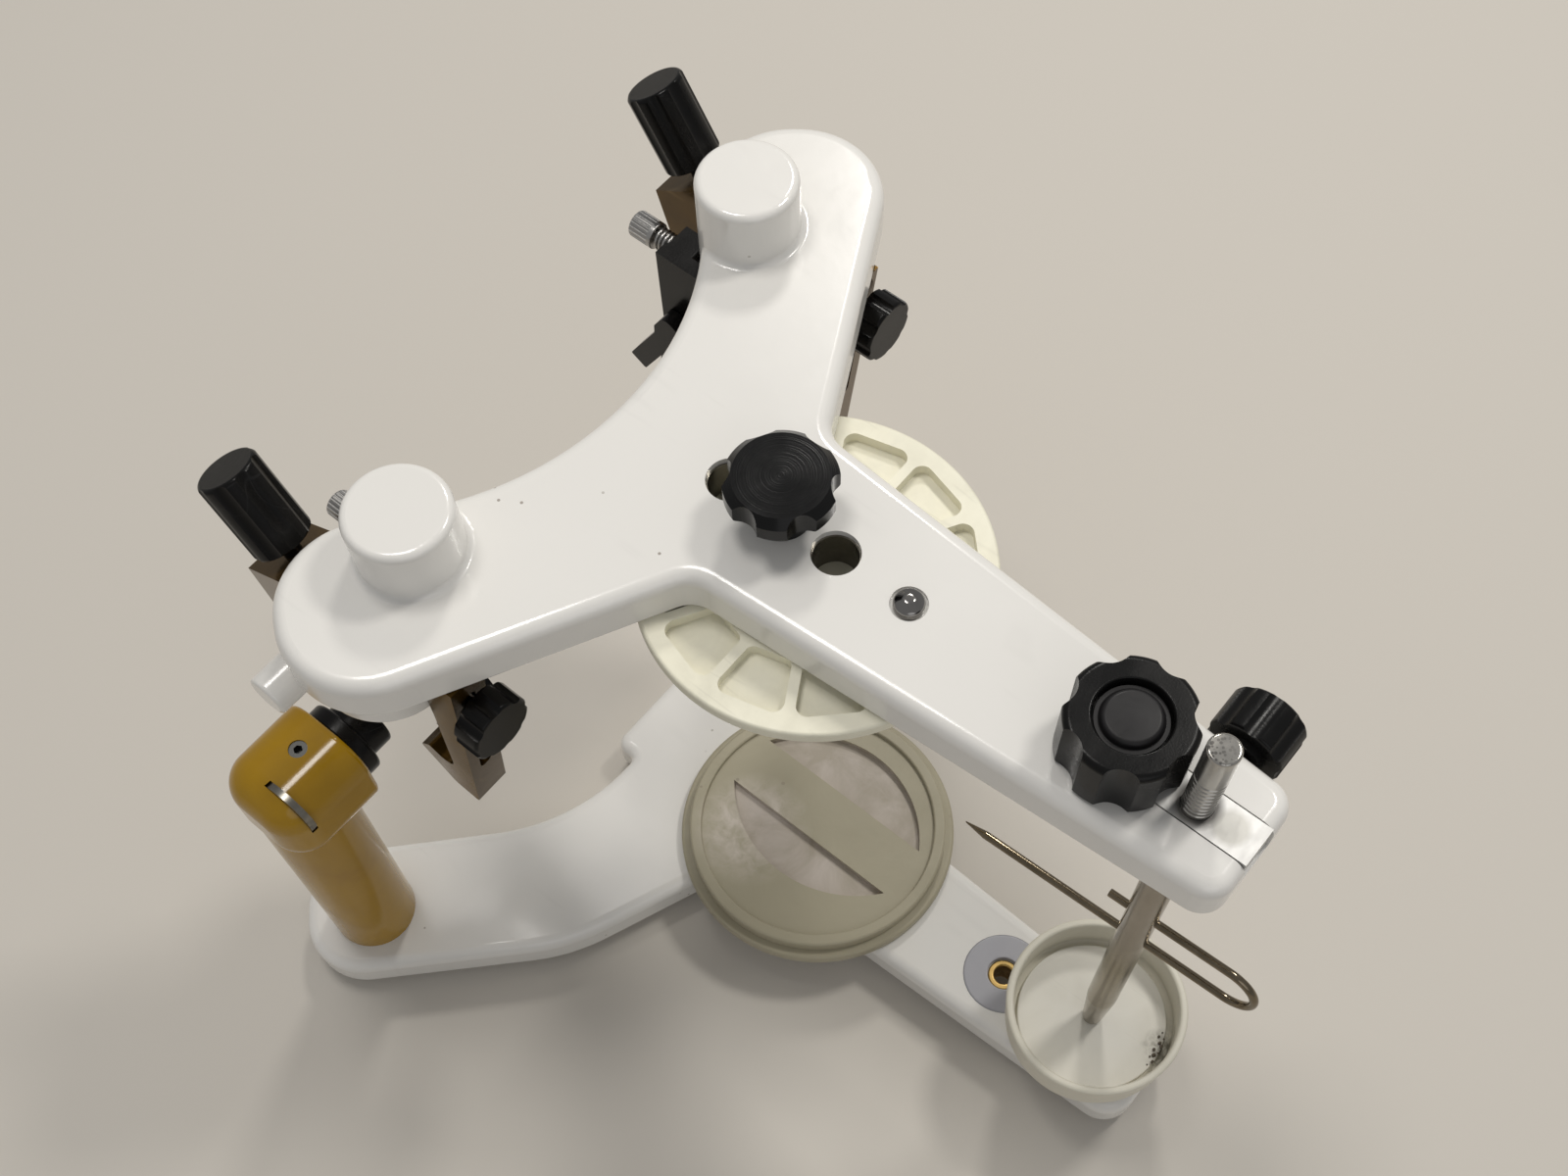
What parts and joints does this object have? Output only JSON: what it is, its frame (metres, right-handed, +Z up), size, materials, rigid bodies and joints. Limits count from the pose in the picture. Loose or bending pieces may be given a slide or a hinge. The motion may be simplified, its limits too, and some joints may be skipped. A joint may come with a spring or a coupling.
{
  "type": "dental articulator",
  "caption": "Jaw simulator with a hinged upper frame on condylar ball tracks, round mounting plates and a sliding incisal pin over a cup-shaped guide table.",
  "frame": {"origin": "bottom centre of the whole instrument, on the surface it stands on", "axes": "+Z up, -Y towards the front with the incisal pin, +X to the right of someone facing the rear"},
  "size_m": [0.2382, 0.2368, 0.2081],
  "materials": {
    "white_paint": "gloss",
    "golden_paint": "gloss",
    "bronze": "satin",
    "black_anodised": "satin",
    "steel": "satin",
    "satin_aluminium": "satin",
    "knob_plastic": "satin",
    "knob_insert": "satin",
    "plate_plastic": "satin",
    "table_plastic": "satin",
    "liner_plastic": "matte",
    "disc_plastic": "satin",
    "brass": "satin",
    "rubber": "matte"
  },
  "bodies": {
    "lower": {"lower_frame": "white_paint", "post_left": "golden_paint", "post_right": "golden_paint", "post_head_left": "golden_paint", "post_head_right": "golden_paint", "axle_left": "steel", "axle_right": "steel", "axle_collar_left": "black_anodised", "axle_collar_right": "black_anodised", "rubber_feet": "rubber", "post_bolts": "steel", "head_grub_screws": "steel", "slit_wheels": "black_anodised", "lower_mounting_plate": "plate_plastic", "incisal_table": "table_plastic", "table_liner": "liner_plastic", "table_bolt": "steel", "cover_disc": "disc_plastic", "brass_bush": "brass"},
    "lower_knob": {"lower_plate_knob": "black_anodised"},
    "condyles": {"condyle_ball_left": "steel", "condyle_ball_right": "steel"},
    "upper": {"upper_frame": "white_paint", "register_bushes": "steel", "dome_screw": "steel", "upper_mounting_plate": "plate_plastic", "condylar_housing_left": "white_paint", "condylar_housing_right": "white_paint", "condylar_bracket_left": "bronze", "condylar_bracket_right": "bronze", "track_cheek_left": "black_anodised", "track_cheek_right": "black_anodised", "rear_block_left": "bronze", "rear_block_right": "bronze", "stop_spring_left": "steel", "stop_spring_right": "steel"},
    "upper_knob": {"upper_plate_knob": "black_anodised"},
    "clamp": {"carriage_knob": "knob_plastic", "carriage_knob_insert": "knob_insert"},
    "carriage": {"pin_carriage": "satin_aluminium"},
    "side_knob": {"pin_clamp_knob": "knob_plastic"},
    "pin": {"incisal_pin": "steel"},
    "pointer": {"pointer_wire": "steel"},
    "track_left": {"track_block_left": "black_anodised"},
    "lock_left": {"lock_knob_left": "black_anodised"},
    "rear_knob_left": {"rear_knob_left": "black_anodised"},
    "stop_left": {"stop_screw_left": "steel"},
    "latch_left": {"centric_latch_left": "black_anodised"},
    "track_right": {"track_block_right": "black_anodised"},
    "lock_right": {"lock_knob_right": "black_anodised"},
    "rear_knob_right": {"rear_knob_right": "black_anodised"},
    "stop_right": {"stop_screw_right": "steel"},
    "latch_right": {"centric_latch_right": "black_anodised"}
  },
  "joints": [
    {"name": "lower_plate_screw", "type": "hinge", "parent": "lower", "child": "lower_knob", "pos_m": [0, 0.01784, 0.009], "axis": [0, 0, -1], "range_deg": [0, 360]},
    {"name": "opening", "type": "hinge", "parent": "lower", "child": "condyles", "pos_m": [0, 0.09234, 0.106], "axis": [-1, 0, 0], "range_deg": [0, 95]},
    {"name": "protrusion", "type": "slide", "parent": "condyles", "child": "upper", "axis": [0, 0.829, 0.5592], "range_m": [0, 0.008]},
    {"name": "upper_plate_screw", "type": "hinge", "parent": "upper", "child": "upper_knob", "pos_m": [0, 0.01784, 0.182], "axis": [0, 0, 1], "range_deg": [0, 360]},
    {"name": "carriage_clamp", "type": "hinge", "parent": "upper", "child": "clamp", "pos_m": [0, -0.06827, 0.182], "axis": [0, 0, 1], "range_deg": [0, 360]},
    {"name": "carriage_shift", "type": "slide", "parent": "upper", "child": "carriage", "axis": [0, -1, 0], "range_m": [0, 0.004]},
    {"name": "pin_clamp", "type": "hinge", "parent": "carriage", "child": "side_knob", "pos_m": [0.01, -0.08636, 0.176], "axis": [1, 0, 0], "range_deg": [0, 360]},
    {"name": "pin_height", "type": "slide", "parent": "carriage", "child": "pin", "axis": [0, 0, 1], "range_m": [0, 0.02]},
    {"name": "pointer_reach", "type": "slide", "parent": "pin", "child": "pointer", "axis": [0, 0.9954, -0.0958], "range_m": [-0.003, 0.015]},
    {"name": "path_angle_left", "type": "hinge", "parent": "upper", "child": "track_left", "pos_m": [-0.0474, 0.09234, 0.106], "axis": [-1, 0, 0], "range_deg": [0, 25]},
    {"name": "lock_screw_left", "type": "hinge", "parent": "upper", "child": "lock_left", "pos_m": [-0.0673, 0.04804, 0.1565], "axis": [0, -1, 0], "range_deg": [0, 360]},
    {"name": "side_shift_left", "type": "hinge", "parent": "upper", "child": "rear_knob_left", "pos_m": [-0.068, 0.10003, 0.17], "axis": [0, 0.5299, 0.848], "range_deg": [0, 360]},
    {"name": "stop_turn_left", "type": "hinge", "parent": "upper", "child": "stop_left", "pos_m": [-0.051, 0.09234, 0.1628], "axis": [0, 1, 0], "range_deg": [0, 360]},
    {"name": "latch_turn_left", "type": "hinge", "parent": "upper", "child": "latch_left", "pos_m": [-0.0438, 0.08674, 0.1477], "axis": [1, 0, 0], "range_deg": [0, 40]},
    {"name": "path_angle_right", "type": "hinge", "parent": "upper", "child": "track_right", "pos_m": [0.0474, 0.09234, 0.106], "axis": [-1, 0, 0], "range_deg": [0, 25]},
    {"name": "lock_screw_right", "type": "hinge", "parent": "upper", "child": "lock_right", "pos_m": [0.0673, 0.04804, 0.1565], "axis": [0, -1, 0], "range_deg": [0, 360]},
    {"name": "side_shift_right", "type": "hinge", "parent": "upper", "child": "rear_knob_right", "pos_m": [0.068, 0.10003, 0.17], "axis": [0, 0.5299, 0.848], "range_deg": [0, 360]},
    {"name": "stop_turn_right", "type": "hinge", "parent": "upper", "child": "stop_right", "pos_m": [0.051, 0.09234, 0.1628], "axis": [0, 1, 0], "range_deg": [0, 360]},
    {"name": "latch_turn_right", "type": "hinge", "parent": "upper", "child": "latch_right", "pos_m": [0.0438, 0.08674, 0.1477], "axis": [1, 0, 0], "range_deg": [0, 40]}
  ]
}
